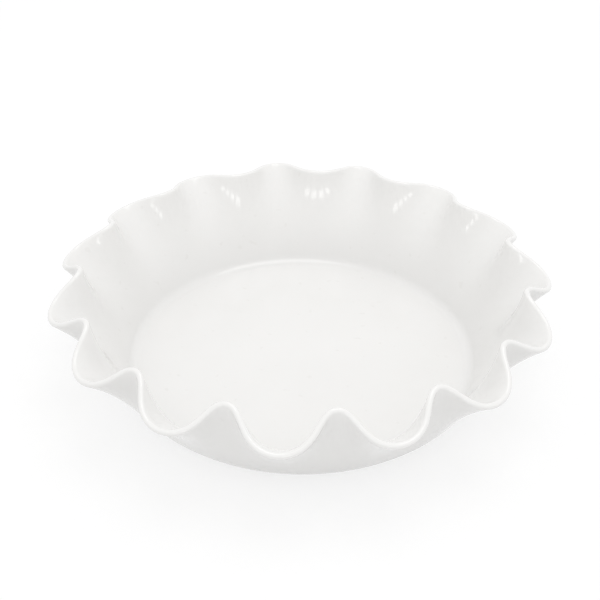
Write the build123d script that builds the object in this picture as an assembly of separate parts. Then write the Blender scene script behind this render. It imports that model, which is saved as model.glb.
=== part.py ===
from build123d import *
import os
from math import acos, atan2, cos, hypot, pi, sin

# Pie dish with a ruffled wall and rim, one piece of glazed stoneware.
# Units are millimetres. The origin is the middle of the foot, on the surface that the dish stands on.
# One outward ruffle lies exactly on -Y, which is the dish's front.

# Rim: the middle of its thickness swings about a mean circle
ruffle_count = 15
rim_mean_radius = 124.5
rim_mean_height = 57.2
rim_thickness = 4.5

# Ruffles: half of the swing outwards and inwards, and half of the swing down and up
ruffle_reach = 7.4
ruffle_drop = 4.5
# Share by which the swing down and up is greater at the front, and smaller at the back
front_droop = 0.35
# Sideways swings: the first makes the lobes wider than the folds, the second makes both fuller
lobe_spread = 2.2
ruffle_fullness = 0.9
# How late the ruffles start above the floor corner: 1 is a straight growth
ruffle_growth = 2.5

# Wall, floor and the round corner between them
wall_thickness = 4.5
floor_radius = 90.0
floor_corner_radius = 7.0
base_thickness = 7.5

# Underside: a round heel under the wall, and a narrow foot ring round a shallow recess
heel_radius = 24.0
foot_width = 6.5
foot_recess = 2.0
foot_edge_bevel = 1.0

# Resolution of the lofted skin, counts only
points_per_ruffle = 8
heel_rows = 4
corner_rows = 3
wall_rows = 10
rim_rows = 4
# The wall's bands are closer near the rim, where the ruffles bend most
row_growth_share = 0.7

# Share of one ruffle and of the wall's height over which a slope is taken
slope_share = 0.001


def around(radius, height, angle):
    """Point at a radius and a height, turned by an angle from -Y towards +X."""
    return Vector(radius * sin(angle), -radius * cos(angle), height)


def wall_lean():
    """Angle on the floor corner's arc where it passes into the straight mean wall."""
    out = rim_mean_radius - floor_radius
    up = rim_mean_height - base_thickness - floor_corner_radius
    return atan2(up, out) - acos((floor_corner_radius + wall_thickness / 2) / hypot(out, up))


def wall_foot(depth):
    """Radius and height of the wall's lower end, at a depth under the floor corner's skin."""
    reach = floor_corner_radius + depth
    height = base_thickness + floor_corner_radius + reach * sin(wall_lean())
    return floor_radius + reach * cos(wall_lean()), height


def heel_way():
    """Length of the outer wall's lower end that the round heel takes up."""
    radius, height = wall_foot(wall_thickness)
    return (heel_radius * (1 + sin(wall_lean())) - height) / cos(wall_lean())


def heel_rise():
    """Share of the wall's way to the rim at which the heel passes into it."""
    radius, height = wall_foot(wall_thickness / 2)
    return heel_way() / hypot(rim_mean_radius - radius, rim_mean_height - height)


def foot_radius():
    """Outer radius of the foot ring, where the heel starts level with the ground."""
    radius, height = wall_foot(wall_thickness)
    return radius - heel_way() * sin(wall_lean()) - heel_radius * cos(wall_lean())


def wall_middle(rise, angle):
    """Point in the middle of the wall, at a share of the way from the floor corner to the rim."""
    start_radius, start_height = wall_foot(wall_thickness / 2)
    phase = ruffle_count * angle
    share = max(rise, 0) ** ruffle_growth
    swing = share * cos(phase)
    drop = ruffle_drop * (1 + front_droop * cos(angle))
    sideways = share * (lobe_spread * sin(phase) + ruffle_fullness * sin(2 * phase))
    radius = start_radius + rise * (rim_mean_radius - start_radius) + ruffle_reach * swing
    height = start_height + rise * (rim_mean_height - start_height) - drop * swing
    return around(radius, height, angle + sideways / rim_mean_radius)


def wall_axes(rise, angle):
    """Unit vectors square to the wall, towards the inside, and up along it, square to the rim."""
    turn = slope_share * 2 * pi / ruffle_count
    along = wall_middle(rise, angle + turn) - wall_middle(rise, angle - turn)
    up = wall_middle(rise + slope_share, angle) - wall_middle(rise - slope_share, angle)
    inward = up.cross(along).normalized()
    return inward, along.cross(inward).normalized()


def heel_point(turned, angle):
    """Point on the heel under the wall, at a share of its turn from flat to wall."""
    slope = -pi / 2 + turned * (wall_lean() + pi / 2)
    radius = foot_radius() + heel_radius * cos(slope)
    return around(radius, heel_radius + heel_radius * sin(slope), angle)


def floor_corner_point(turned, angle):
    """Point on the round corner between floor and wall, at a share of its turn from flat to wall."""
    slope = -pi / 2 + turned * (wall_lean() + pi / 2)
    height = base_thickness + floor_corner_radius + floor_corner_radius * sin(slope)
    return around(floor_radius + floor_corner_radius * cos(slope), height, angle)


def wall_point(rise, side, angle):
    """Point on the outer (-1) or inner (+1) skin of the wall, half a thickness off its middle."""
    inward, up = wall_axes(rise, angle)
    thickness = wall_thickness + rise * (rim_thickness - wall_thickness)
    return wall_middle(rise, angle) + inward * (side * thickness / 2)


def rim_point(turned, angle):
    """Point on the rim's round edge, from its outer side (0) over the top to its inner side (1)."""
    inward, up = wall_axes(1, angle)
    slope = pi * turned
    return wall_middle(1, angle) + (up * sin(slope) - inward * cos(slope)) * (rim_thickness / 2)


def ring(point_at):
    """Closed smooth curve once round the dish, through evenly turned points."""
    count = ruffle_count * points_per_ruffle
    angles = [2 * pi * step / count for step in range(count + 1)]
    points = [point_at(angle) for angle in angles[:-1]]
    return Wire([Edge.make_spline(points, periodic=True, parameters=angles)])


def wall_rises(first):
    """Shares of the way to the rim at which the wall's rings lie, from the given first one."""
    steps = [(row / wall_rows) ** row_growth_share for row in range(wall_rows)]
    return [first + step * (1 - first) for step in steps]


def skin_rings():
    """Rings from the foot ring up the outside, over the rim and down to the floor."""
    heel = [row / heel_rows for row in range(heel_rows)]
    corner = [row / corner_rows for row in range(corner_rows)]
    rim = [row / rim_rows for row in range(rim_rows + 1)]
    rings = [ring(lambda angle, t=t: heel_point(t, angle)) for t in heel]
    rings += [ring(lambda angle, t=t: wall_point(t, -1, angle)) for t in wall_rises(heel_rise())]
    rings += [ring(lambda angle, t=t: rim_point(t, angle)) for t in rim]
    rings += [ring(lambda angle, t=t: wall_point(t, 1, angle)) for t in reversed(wall_rises(0))]
    rings += [ring(lambda angle, t=t: floor_corner_point(t, angle)) for t in reversed(corner)]
    return rings


def foot_recess_tool():
    """Shallow round recess that leaves the foot ring standing, with a bevelled upper edge."""
    recess = Cylinder(
        foot_radius() - foot_width,
        2 * foot_recess,
        align=(Align.CENTER, Align.CENTER, Align.CENTER),
    )
    return chamfer(recess.edges().group_by(Axis.Z)[-1], foot_edge_bevel)


def pie_dish():
    """The whole dish: the banded skin as a solid, less the recess under the base."""
    return Solid.make_loft(skin_rings(), ruled=True) - foot_recess_tool()


os.makedirs("parts", exist_ok=True)
dish = pie_dish()
dish.label = "pie_dish"
export_step(dish, "parts/pie_dish.step")
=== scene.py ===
"""A ruffled pie dish of glazed stoneware, seen from above its front edge in soft studio light."""

from __future__ import annotations

import logging
from dataclasses import dataclass
from enum import Enum
from functools import cached_property
from math import acos, atan2, cos, hypot, pi, radians, sin, sqrt
from typing import Callable

import bmesh
import bpy
from mathutils import Matrix, Vector


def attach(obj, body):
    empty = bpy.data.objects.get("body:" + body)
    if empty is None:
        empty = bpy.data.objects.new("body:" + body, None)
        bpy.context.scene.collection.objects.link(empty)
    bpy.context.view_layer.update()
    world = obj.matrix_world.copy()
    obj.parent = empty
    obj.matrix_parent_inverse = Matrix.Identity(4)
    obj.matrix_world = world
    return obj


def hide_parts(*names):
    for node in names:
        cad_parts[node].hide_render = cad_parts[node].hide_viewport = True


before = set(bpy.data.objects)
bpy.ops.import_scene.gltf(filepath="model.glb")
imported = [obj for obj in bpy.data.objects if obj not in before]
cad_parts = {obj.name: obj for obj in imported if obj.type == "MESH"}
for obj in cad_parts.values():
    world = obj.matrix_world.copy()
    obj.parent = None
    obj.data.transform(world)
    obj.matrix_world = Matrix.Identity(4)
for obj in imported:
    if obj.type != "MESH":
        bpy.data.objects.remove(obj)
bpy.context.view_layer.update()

log = logging.getLogger("pie_dish")

MM = 0.001

Colour = tuple[float, float, float]
Place = tuple[float, float, float]
Row = Callable[[float], Vector]
Socket = bpy.types.NodeSocket


class Skin(Enum):
    """The two skins of the wall, as the side of its middle that each lies on."""

    OUTER = -1
    INNER = 1


@dataclass(frozen=True)
class DishSizes:
    """The dish's own sizes, in metres, and the shares and counts that shape its ruffles.

    Args:
        ruffle_count: how many ruffles there are, one of them right at the front.
        rim_mean_radius: radius about which the middle of the rim swings.
        rim_mean_height: height about which the middle of the rim swings.
        rim_thickness: thickness of the solid's rim, which the lip touches from inside.
        lip_thickness: thickness to which the wall thins at the rim.
        ruffle_reach: half of the swing outwards and inwards.
        ruffle_drop: half of the mean swing down and up.
        front_droop: share by which that swing is greater at the front and smaller at the back.
        back_lift: share by which it is smaller still at the very back.
        lobe_spread: sideways swing that makes the lobes wider than the folds.
        back_lobe_spread: the same at the very back, where the folds are the wider ones.
        back_narrowness: how closely the back's own shape keeps to the very back.
        ruffle_fullness: sideways swing that makes lobes and folds fuller.
        ruffle_growth: how late the ruffles start above the floor corner.
        wall_thickness: thickness of the wall at its foot.
        floor_radius: radius of the flat floor.
        floor_corner_radius: radius of the round corner between floor and wall.
        base_thickness: height of the floor above the ground.
        heel_radius: radius of the round heel under the wall.
        foot_width: width of the foot ring.
        foot_recess: height of the recess inside the foot ring.
        foot_edge_radius: radius of the foot ring's inner edges.
        slope_share: share of a ruffle and of the wall's height over which a slope is taken.
    """

    ruffle_count: int = 15
    rim_mean_radius: float = 124.5 * MM
    rim_mean_height: float = 57.2 * MM
    rim_thickness: float = 4.5 * MM
    lip_thickness: float = 3.0 * MM
    ruffle_reach: float = 7.4 * MM
    ruffle_drop: float = 4.5 * MM
    front_droop: float = 0.35
    back_lift: float = 0.5
    lobe_spread: float = 2.2 * MM
    back_lobe_spread: float = -2.0 * MM
    back_narrowness: int = 8
    ruffle_fullness: float = 0.9 * MM
    ruffle_growth: float = 2.5
    wall_thickness: float = 4.5 * MM
    floor_radius: float = 90.0 * MM
    floor_corner_radius: float = 7.0 * MM
    base_thickness: float = 7.5 * MM
    heel_radius: float = 24.0 * MM
    foot_width: float = 6.5 * MM
    foot_recess: float = 2.0 * MM
    foot_edge_radius: float = 1.0 * MM
    slope_share: float = 0.001


@dataclass
class DishForm:
    """Where the dish's surfaces lie, as points that follow from its sizes.

    Args:
        sizes: the dish's own sizes.
    """

    sizes: DishSizes

    @staticmethod
    def around(radius: float, height: float, angle: float) -> Vector:
        """Point at a radius and a height, turned by an angle from -Y towards +X."""
        return Vector((radius * sin(angle), -radius * cos(angle), height))

    @cached_property
    def lean(self) -> float:
        """Angle on the floor corner's arc where it passes into the straight mean wall.

        Returns:
            The angle above the level.
        """
        s = self.sizes
        out = s.rim_mean_radius - s.floor_radius
        up = s.rim_mean_height - s.base_thickness - s.floor_corner_radius
        reach = s.floor_corner_radius + s.wall_thickness / 2
        return atan2(up, out) - acos(reach / hypot(out, up))

    def slope(self, turned: float) -> float:
        """Angle on a corner's arc, at a share of its turn from flat to wall."""
        return -pi / 2 + turned * (self.lean + pi / 2)

    def corner(self, depth: float) -> tuple[float, float]:
        """Place of the wall's foot, at a depth under the floor corner's skin.

        Args:
            depth: how far under the skin.

        Returns:
            Its radius and its height.
        """
        s = self.sizes
        reach = s.floor_corner_radius + depth
        height = s.base_thickness + s.floor_corner_radius + reach * sin(self.lean)
        return s.floor_radius + reach * cos(self.lean), height

    @cached_property
    def wall_foot(self) -> tuple[float, float]:
        """Radius and height at which the middle of the wall starts."""
        return self.corner(self.sizes.wall_thickness / 2)

    @cached_property
    def heel_way(self) -> float:
        """Length of the outer wall's foot that the round heel takes up."""
        _, height = self.corner(self.sizes.wall_thickness)
        return (self.sizes.heel_radius * (1 + sin(self.lean)) - height) / cos(self.lean)

    @cached_property
    def heel_rise(self) -> float:
        """Share of the wall's way to the rim at which the heel passes into it.

        Returns:
            The share, from 0 at the wall's foot to 1 at the rim.
        """
        s = self.sizes
        radius, height = self.wall_foot
        return self.heel_way / hypot(s.rim_mean_radius - radius, s.rim_mean_height - height)

    @cached_property
    def foot_radius(self) -> float:
        """Radius at which the heel starts, level with the ground."""
        radius, _ = self.corner(self.sizes.wall_thickness)
        return radius - self.heel_way * sin(self.lean) - self.sizes.heel_radius * cos(self.lean)

    @cached_property
    def lip_shift(self) -> float:
        """How far up and out the lip lies, so that it touches the rim's outer edge from inside."""
        return (self.sizes.rim_thickness - self.sizes.lip_thickness) / 2 / sqrt(2)

    def back_share(self, angle: float) -> float:
        """How far the ruffles take the shape of those at the very back, from 0 to 1."""
        return ((1 - cos(angle)) / 2) ** self.sizes.back_narrowness

    def wall_middle(self, rise: float, angle: float) -> Vector:
        """Point in the middle of the wall.

        Args:
            rise: share of the way from the floor corner to the rim.
            angle: turn from the front.

        Returns:
            The point.
        """
        s = self.sizes
        start_radius, start_height = self.wall_foot
        phase = s.ruffle_count * angle
        share = max(rise, 0) ** s.ruffle_growth
        swing = share * cos(phase)
        back = self.back_share(angle)
        drop = s.ruffle_drop * (1 + s.front_droop * cos(angle) - s.back_lift * back)
        spread = s.lobe_spread + back * (s.back_lobe_spread - s.lobe_spread)
        sideways = share * (spread * sin(phase) + s.ruffle_fullness * sin(2 * phase))
        radius = start_radius + rise * (s.rim_mean_radius - start_radius) + s.ruffle_reach * swing
        height = start_height + rise * (s.rim_mean_height - start_height) - drop * swing
        return self.around(radius, height, angle + sideways / s.rim_mean_radius)

    def wall_axes(self, rise: float, angle: float) -> tuple[Vector, Vector]:
        """Unit vectors square to the wall.

        Args:
            rise: share of the way from the floor corner to the rim.
            angle: turn from the front.

        Returns:
            The one that points into the dish, and the one that points up along the wall.
        """
        s = self.sizes
        turn = s.slope_share * 2 * pi / s.ruffle_count
        step = s.slope_share
        along = self.wall_middle(rise, angle + turn) - self.wall_middle(rise, angle - turn)
        up = self.wall_middle(rise + step, angle) - self.wall_middle(rise - step, angle)
        inward = up.cross(along).normalized()
        return inward, along.cross(inward).normalized()

    def heel(self, turned: float, angle: float) -> Vector:
        """Point on the heel under the wall.

        Args:
            turned: share of the heel's turn from flat to wall.
            angle: turn from the front.

        Returns:
            The point.
        """
        radius = self.sizes.heel_radius
        slope = self.slope(turned)
        out = self.foot_radius + radius * cos(slope)
        return self.around(out, radius + radius * sin(slope), angle)

    def floor_corner(self, turned: float, angle: float) -> Vector:
        """Point on the round corner between floor and wall.

        Args:
            turned: share of the corner's turn from flat to wall.
            angle: turn from the front.

        Returns:
            The point.
        """
        s = self.sizes
        radius = s.floor_corner_radius
        slope = self.slope(turned)
        height = s.base_thickness + radius + radius * sin(slope)
        return self.around(s.floor_radius + radius * cos(slope), height, angle)

    def wall(self, rise: float, skin: Skin, angle: float) -> Vector:
        """Point on a skin of the wall, which thins towards the lip of the rim.

        Args:
            rise: share of the way from the floor corner to the rim.
            skin: the outer or the inner skin.
            angle: turn from the front.

        Returns:
            The point.
        """
        s = self.sizes
        inward, _ = self.wall_axes(rise, angle)
        thickness = s.wall_thickness + rise * (s.lip_thickness - s.wall_thickness)
        offset = skin.value * thickness / 2 - rise * self.lip_shift
        return self.wall_middle(rise, angle) + inward * offset

    def rim(self, turned: float, angle: float) -> Vector:
        """Point on the rim's round edge.

        Args:
            turned: share of the half turn from its outer side over the top to its inner side.
            angle: turn from the front.

        Returns:
            The point.
        """
        inward, up = self.wall_axes(1, angle)
        slope = pi * turned
        middle = self.wall_middle(1, angle) + (up - inward) * self.lip_shift
        return middle + (up * sin(slope) - inward * cos(slope)) * (self.sizes.lip_thickness / 2)


@dataclass(frozen=True)
class Network:
    """The node network of a material or of the sky.

    Args:
        tree: the tree that the nodes go into.
    """

    tree: bpy.types.NodeTree

    def node(self, kind: str) -> bpy.types.Node:
        """A new node of that kind."""
        return self.tree.nodes.new(f"ShaderNode{kind}")

    def feed(self, socket: Socket, value: Socket | Colour | float) -> None:
        """Gives an input its value.

        Args:
            socket: the input.
            value: another node's output, a plain colour or a plain number.
        """
        if isinstance(value, Socket):
            self.tree.links.new(value, socket)
        else:
            socket.default_value = (*value, 1) if isinstance(value, tuple) else value

    def compute(self, operation: str, *terms: Socket | float) -> Socket:
        """A sum or another piece of arithmetic.

        Args:
            operation: what is worked out.
            terms: what it is worked out from, in order.

        Returns:
            The result.
        """
        node = self.node("Math")
        node.operation = operation
        for socket, term in zip(node.inputs, terms):
            self.feed(socket, term)
        return node.outputs[0]

    def noise(self, place: Socket, scale: float, detail: float) -> Socket:
        """A noise over the surface.

        Args:
            place: the coordinates that it follows.
            scale: how many of its patches lie in a metre.
            detail: how many finer layers it has.

        Returns:
            Its value, from 0 to 1.
        """
        node = self.node("TexNoise")
        self.feed(node.inputs["Vector"], place)
        self.feed(node.inputs["Scale"], scale)
        self.feed(node.inputs["Detail"], detail)
        return node.outputs["Fac"]

    def step(self, value: Socket, start: float, full: float) -> Socket:
        """A smooth step of a value.

        Args:
            value: what is stepped.
            start: the value up to which the step is 0.
            full: the value from which it is 1.

        Returns:
            The step.
        """
        node = self.node("MapRange")
        node.interpolation_type = "SMOOTHSTEP"
        self.feed(node.inputs["Value"], value)
        self.feed(node.inputs["From Min"], start)
        self.feed(node.inputs["From Max"], full)
        return node.outputs["Result"]

    def between(self, share: Socket, first: float, second: float) -> Socket:
        """A number between two others.

        Args:
            share: how far it lies from the first to the second.
            first: the number at a share of 0.
            second: the number at a share of 1.

        Returns:
            The number.
        """
        node = self.node("MapRange")
        self.feed(node.inputs["Value"], share)
        self.feed(node.inputs["To Min"], first)
        self.feed(node.inputs["To Max"], second)
        return node.outputs["Result"]

    def blend(self, share: Socket, first: Socket | Colour, second: Socket | Colour) -> Socket:
        """A blend of two colours.

        Args:
            share: how much of the second colour there is.
            first: one colour.
            second: the other colour.

        Returns:
            The blend.
        """
        node = self.node("Mix")
        node.data_type = "RGBA"
        self.feed(node.inputs["Factor"], share)
        self.feed(node.inputs["A"], first)
        self.feed(node.inputs["B"], second)
        return node.outputs["Result"]


@dataclass(frozen=True)
class Glaze:
    """Off-white glossy glaze, faintly clouded, specked and uneven, and bare clay under the foot."""

    colour: Colour = (0.83, 0.825, 0.815)
    refraction: float = 1.52
    roughness: float = 0.1
    cloud_colour: Colour = (0.80, 0.794, 0.78)
    cloud_scale: float = 22.0
    cloud_detail: float = 3.0
    speck_colour: Colour = (0.79, 0.783, 0.768)
    speck_scale: float = 240.0
    speck_detail: float = 0.0
    speck_start: float = 0.76
    speck_full: float = 0.84
    ripple_scale: float = 55.0
    ripple_detail: float = 1.0
    ripple_height: float = 0.02 * MM
    clay_colour: Colour = (0.64, 0.57, 0.48)
    clay_grain_colour: Colour = (0.50, 0.43, 0.35)
    clay_grain_scale: float = 900.0
    clay_grain_detail: float = 4.0
    clay_roughness: float = 0.85
    clay_height: float = 0.2 * MM
    clay_line_wobble: float = 0.2 * MM
    clay_line_blur: float = 0.08 * MM

    def material(self) -> bpy.types.Material:
        """Makes the glaze as a node material.

        Returns:
            The new material.
        """
        material = bpy.data.materials.new("glaze")
        material.use_nodes = True
        net = Network(material.node_tree)
        inputs = material.node_tree.nodes["Principled BSDF"].inputs
        place = net.node("TexCoord").outputs["Object"]
        clouds = net.noise(place, self.cloud_scale, self.cloud_detail)
        glazed = self.above_clay(net, place, clouds)
        clay_grain = net.noise(place, self.clay_grain_scale, self.clay_grain_detail)
        clay = net.blend(clay_grain, self.clay_colour, self.clay_grain_colour)
        speck_noise = net.noise(place, self.speck_scale, self.speck_detail)
        specks = net.step(speck_noise, self.speck_start, self.speck_full)
        clouded = net.blend(clouds, self.colour, self.cloud_colour)
        specked = net.blend(specks, clouded, self.speck_colour)
        bump = net.node("Bump")
        ripple = net.noise(place, self.ripple_scale, self.ripple_detail)
        net.feed(bump.inputs["Height"], ripple)
        net.feed(bump.inputs["Distance"], self.ripple_height)
        net.feed(inputs["IOR"], self.refraction)
        net.feed(inputs["Base Color"], net.blend(glazed, clay, specked))
        net.feed(inputs["Roughness"], net.between(glazed, self.clay_roughness, self.roughness))
        net.feed(inputs["Normal"], bump.outputs["Normal"])
        return material

    def above_clay(self, net: Network, place: Socket, wobble: Socket) -> Socket:
        """Where the glaze covers the clay, above a slightly wobbling line round the foot.

        Args:
            net: the material's network.
            place: the coordinates on the dish.
            wobble: the noise that the line follows.

        Returns:
            0 on bare clay and 1 on glaze.
        """
        apart = net.node("SeparateXYZ")
        net.feed(apart.inputs["Vector"], place)
        height = net.compute("MULTIPLY_ADD", wobble, self.clay_line_wobble, apart.outputs["Z"])
        return net.step(height, self.clay_height, self.clay_height + self.clay_line_blur)


@dataclass
class PieDish:
    """The one piece: floor, base corner, ruffled wall, rounded rim and foot ring.

    Args:
        form: where its surfaces lie.
        glaze: its finish.
    """

    form: DishForm
    glaze: Glaze
    columns_per_ruffle: int = 32
    floor_rows: int = 6
    corner_rows: int = 8
    wall_rows: int = 30
    rim_rows: int = 10
    edge_rows: int = 4
    merge_gap: float = 0.01 * MM
    name: str = "pie_dish_glazed"

    @staticmethod
    def shares(count: int) -> list[float]:
        """Even shares from 0 upwards, of which the next one would be 1."""
        return [row / count for row in range(count)]

    def flat(self, radius: float, height: float) -> Row:
        """A level ring of that radius at that height."""
        return lambda angle: self.form.around(radius, height, angle)

    def underside(self) -> list[Row]:
        """Rings from the middle of the recess, over the foot ring's round inner edges.

        Returns:
            The rings in order.
        """
        s, edge = self.form.sizes, self.form.sizes.foot_edge_radius
        inner_foot = self.form.foot_radius - s.foot_width
        turns = [row / self.edge_rows * pi / 2 for row in range(self.edge_rows + 1)]
        rings = [
            self.flat(inner_foot * row / self.floor_rows, s.foot_recess)
            for row in range(self.floor_rows)
        ]
        rings += [
            self.flat(inner_foot - edge + edge * sin(turn), s.foot_recess - edge + edge * cos(turn))
            for turn in turns
        ]
        rings += [
            self.flat(inner_foot + edge - edge * cos(turn), edge - edge * sin(turn))
            for turn in turns[1:]
        ]
        return rings

    def outside(self) -> list[Row]:
        """Rings from the foot ring's outer edge, up the heel and the outer wall.

        Returns:
            The rings in order.
        """
        form, first = self.form, self.form.heel_rise
        rises = [first + t * (1 - first) for t in self.shares(self.wall_rows)]
        rings = [lambda angle, t=t: form.heel(t, angle) for t in self.shares(self.corner_rows)]
        return rings + [lambda angle, r=r: form.wall(r, Skin.OUTER, angle) for r in rises]

    def lip(self) -> list[Row]:
        """Rings over the rim, from its outer side to its inner side."""
        shares = self.shares(self.rim_rows) + [1.0]
        return [lambda angle, t=t: self.form.rim(t, angle) for t in shares]

    def inside(self) -> list[Row]:
        """Rings down the inner wall, round the floor corner and to the middle of the floor.

        Returns:
            The rings in order.
        """
        form, s = self.form, self.form.sizes
        rises = reversed(self.shares(self.wall_rows))
        turns = reversed(self.shares(self.corner_rows))
        rings = [lambda angle, t=t: form.wall(t, Skin.INNER, angle) for t in rises]
        rings += [lambda angle, t=t: form.floor_corner(t, angle) for t in turns]
        rings += [
            self.flat(s.floor_radius * row / self.floor_rows, s.base_thickness)
            for row in reversed(range(self.floor_rows))
        ]
        return rings

    def build(self) -> bpy.types.Object:
        """Spins the profile once round and sets every point on the dish's surface.

        Returns:
            The dish as one closed mesh object.
        """
        rows = self.underside() + self.outside() + self.lip() + self.inside()
        shape = bmesh.new()
        row_of = shape.verts.layers.int.new("row")
        profile = []
        for index, row in enumerate(rows):
            point = shape.verts.new(row(0.0))
            point[row_of] = index
            profile.append(point)
        lines = [shape.edges.new(pair) for pair in zip(profile, profile[1:])]
        bmesh.ops.spin(
            shape,
            geom=profile + lines,
            cent=(0, 0, 0),
            axis=(0, 0, 1),
            dvec=(0, 0, 0),
            angle=2 * pi,
            steps=self.form.sizes.ruffle_count * self.columns_per_ruffle,
            use_merge=True,
            use_duplicate=False,
        )
        for point in shape.verts:
            point.co = rows[point[row_of]](atan2(point.co.x, -point.co.y))
        bmesh.ops.remove_doubles(shape, verts=shape.verts[:], dist=self.merge_gap)
        bmesh.ops.recalc_face_normals(shape, faces=shape.faces[:])
        for face in shape.faces:
            face.smooth = True
        return placed_object(self.name, shape)

    def dress(self, dish: bpy.types.Object) -> None:
        """Gives the dish its finish and puts it in the place of the CAD solid.

        Args:
            dish: the mesh object that build made.
        """
        dish.data.materials.append(self.glaze.material())
        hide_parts("pie_dish")
        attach(dish, "root")


@dataclass(frozen=True)
class Lamp:
    """One soft rectangular lamp, turned towards a point.

    Args:
        name: the lamp's name.
        place: where it hangs.
        aim: the point that it faces.
        size: its width and height.
        power: its strength in watts.
    """

    name: str
    place: Place
    aim: Place
    size: tuple[float, float]
    power: float

    def build(self) -> bpy.types.Object:
        """Hangs the lamp in the studio.

        Returns:
            The lamp.
        """
        light = bpy.data.lights.new(self.name, "AREA")
        light.shape = "RECTANGLE"
        light.size, light.size_y = self.size
        light.energy = self.power
        lamp = bpy.data.objects.new(self.name, light)
        bpy.context.collection.objects.link(lamp)
        lamp.location = self.place
        view = Vector(self.aim) - Vector(self.place)
        lamp.rotation_euler = view.to_track_quat("-Z", "Y").to_euler()
        return lamp


@dataclass(frozen=True)
class Ground:
    """A level white ground, on which the dish's shadow shows as a faint one.

    Args:
        size: its length and width.
        depth: how far it lies under the foot, so that the two faces don't coincide.
        colour: its colour in the light that it gives back to the dish.
        roughness: how matt it is.
        shadow_share: how much of a real shadow the camera sees.
        lit_level: how bright the plain ground is in this light, which the glow makes up to white.
    """

    size: float = 6.0
    depth: float = 0.05 * MM
    colour: Colour = (0.75, 0.75, 0.75)
    roughness: float = 0.9
    shadow_share: float = 0.3
    lit_level: float = 0.8

    def build(self) -> bpy.types.Object:
        """Lays the ground and keeps it as part of the stage.

        Returns:
            The ground.
        """
        shape = bmesh.new()
        bmesh.ops.create_grid(shape, x_segments=1, y_segments=1, size=self.size / 2)
        bmesh.ops.translate(shape, verts=shape.verts[:], vec=(0, 0, -self.depth))
        ground = placed_object("ground", shape)
        ground.data.materials.append(self.material())
        return ground

    def material(self) -> bpy.types.Material:
        """Makes white paper that glows a little where it is seen or mirrored.

        Returns:
            The new material.
        """
        material = bpy.data.materials.new("ground_paper")
        material.use_nodes = True
        net = Network(material.node_tree)
        inputs = material.node_tree.nodes["Principled BSDF"].inputs
        rays = net.node("LightPath").outputs
        seen = net.compute("MAXIMUM", rays["Is Camera Ray"], rays["Is Glossy Ray"])
        dim = tuple(self.shadow_share * part for part in self.colour)
        glow = net.compute("MULTIPLY", seen, 1 - self.lit_level * self.shadow_share)
        net.feed(inputs["Roughness"], self.roughness)
        net.feed(inputs["Specular IOR Level"], 0.0)
        net.feed(inputs["Base Color"], net.blend(seen, self.colour, dim))
        net.feed(inputs["Emission Color"], (1, 1, 1))
        net.feed(inputs["Emission Strength"], glow)
        return material


@dataclass(frozen=True)
class Studio:
    """White ground, an even white sky, one lamp overhead and four window panes in front."""

    sky_strength: float = 0.96
    seen_sky_strength: float = 1.0
    overhead_place: Place = (0.15, 0.05, 1.4)
    overhead_aim: Place = (0, 0, 0)
    overhead_size: tuple[float, float] = (0.8, 0.8)
    overhead_power: float = 3.8
    pane_aim: Place = (0, 0, 0.04)
    pane_size: tuple[float, float] = (0.34, 0.15)
    pane_power: float = 0.52
    pane_turns: tuple[float, ...] = (-27.0, -9.0, 9.0, 27.0)
    pane_reach: float = 1.65
    pane_height: float = 0.3

    def build(self) -> list[bpy.types.Object]:
        """Makes the ground, the sky and the lamps.

        Returns:
            The ground and the lamps.
        """
        ground = Ground().build()
        self.sky()
        return [ground] + [lamp.build() for lamp in self.lamps()]

    def sky(self) -> None:
        """An even white sky, seen as plain white behind the ground."""
        world = bpy.data.worlds.new("sky")
        bpy.context.scene.world = world
        world.use_nodes = True
        net = Network(world.node_tree)
        inputs = world.node_tree.nodes["Background"].inputs
        seen = net.node("LightPath").outputs["Is Camera Ray"]
        strength = net.between(seen, self.sky_strength, self.seen_sky_strength)
        net.feed(inputs["Color"], (1, 1, 1))
        net.feed(inputs["Strength"], strength)

    def lamps(self) -> list[Lamp]:
        """The lamp overhead, and the window panes in an arc in front.

        Returns:
            The lamps in order.
        """
        lamps = [
            Lamp(
                "overhead",
                self.overhead_place,
                self.overhead_aim,
                self.overhead_size,
                self.overhead_power,
            )
        ]
        for number, turn in enumerate(self.pane_turns, 1):
            out, side = -self.pane_reach * cos(radians(turn)), self.pane_reach * sin(radians(turn))
            place = (side, out, self.pane_height)
            name = f"window_pane_{number}"
            lamps.append(Lamp(name, place, self.pane_aim, self.pane_size, self.pane_power))
        return lamps


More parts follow.
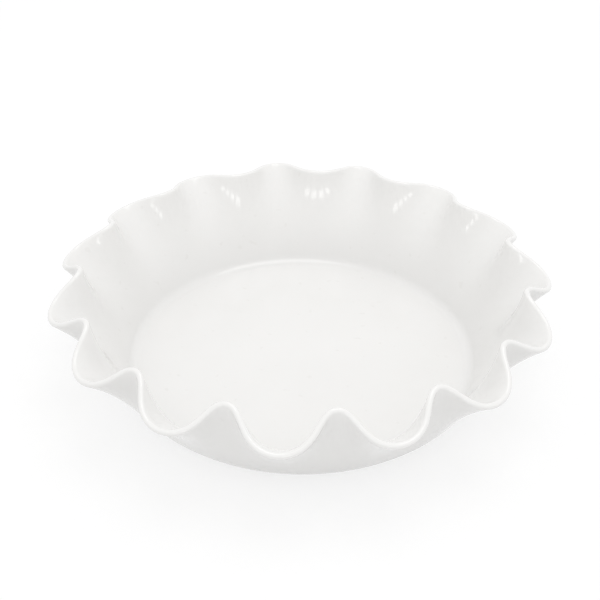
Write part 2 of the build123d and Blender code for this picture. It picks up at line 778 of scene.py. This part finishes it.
@dataclass(frozen=True)
class PhotoCamera:
    """The photograph's camera: above the front edge, looking down on the dish.

    Args:
        photo_width: width of the photograph in pixels.
        sensor_width: width of the sensor in millimetres.
        azimuth: turn from the front in degrees, towards the right.
        elevation: angle above the ground in degrees.
        distance: distance from the middle of the foot.
        focal_pixels: focal length in pixels of the photograph.
        yaw: turn to the left after aiming at the foot, in degrees.
        pitch: turn upwards after that, in degrees.
        roll: turn about the line of sight after that, in degrees.
        clip_start: distance from which things are seen.
    """

    photo_width: float = 600.0
    sensor_width: float = 36.0
    azimuth: float = 4.41
    elevation: float = 37.88
    distance: float = 0.590
    focal_pixels: float = 1040.6
    yaw: float = 0.11
    pitch: float = 3.386
    roll: float = 0.332
    clip_start: float = 0.01

    def build(self) -> bpy.types.Object:
        """Sets up the camera and makes it the scene's own.

        Returns:
            The camera.
        """
        data = bpy.data.cameras.new("camera")
        data.sensor_width = self.sensor_width
        data.lens = self.focal_pixels * self.sensor_width / self.photo_width
        data.clip_start = self.clip_start
        camera = bpy.data.objects.new("camera", data)
        bpy.context.collection.objects.link(camera)
        camera.matrix_world = self.placing()
        bpy.context.scene.camera = camera
        return camera

    def placing(self) -> Matrix:
        """Aims at the middle of the foot and then turns by yaw, pitch and roll.

        Returns:
            The camera's place and turn.
        """
        spin = Matrix.Rotation(radians(self.azimuth), 3, "Z")
        back = spin @ Vector((0, -cos(radians(self.elevation)), sin(radians(self.elevation))))
        right = spin @ Vector((1, 0, 0))
        up = back.cross(right)
        place = back * self.distance
        turn = Matrix.Rotation(radians(self.yaw), 3, up)
        right, back = turn @ right, turn @ back
        tilt = Matrix.Rotation(radians(self.pitch), 3, right)
        up, back = tilt @ up, tilt @ back
        bank = Matrix.Rotation(radians(self.roll), 3, back)
        right, up = bank @ right, bank @ up
        rows = zip(right, up, back, place)
        return Matrix((*rows, (0, 0, 0, 1)))


def placed_object(name: str, shape: bmesh.types.BMesh) -> bpy.types.Object:
    """Turns a finished shape into an object at the origin.

    Args:
        name: the object's name.
        shape: the shape, which is freed.

    Returns:
        The new object.
    """
    mesh = bpy.data.meshes.new(name)
    shape.to_mesh(mesh)
    shape.free()
    item = bpy.data.objects.new(name, mesh)
    bpy.context.collection.objects.link(item)
    return item


def main() -> None:
    """Builds the dish, the studio and the camera, and reports each piece."""
    bpy.context.scene.view_settings.view_transform = "Standard"
    pie_dish = PieDish(DishForm(DishSizes()), Glaze())
    dish = pie_dish.build()
    pie_dish.dress(dish)
    log.info("%s: %d faces", dish.name, len(dish.data.polygons))
    for item in [*Studio().build(), PhotoCamera().build()]:
        log.info("%s: in place", item.name)


if __name__ == "__main__":
    logging.basicConfig(level=logging.INFO, format="%(name)s: %(message)s")
    main()
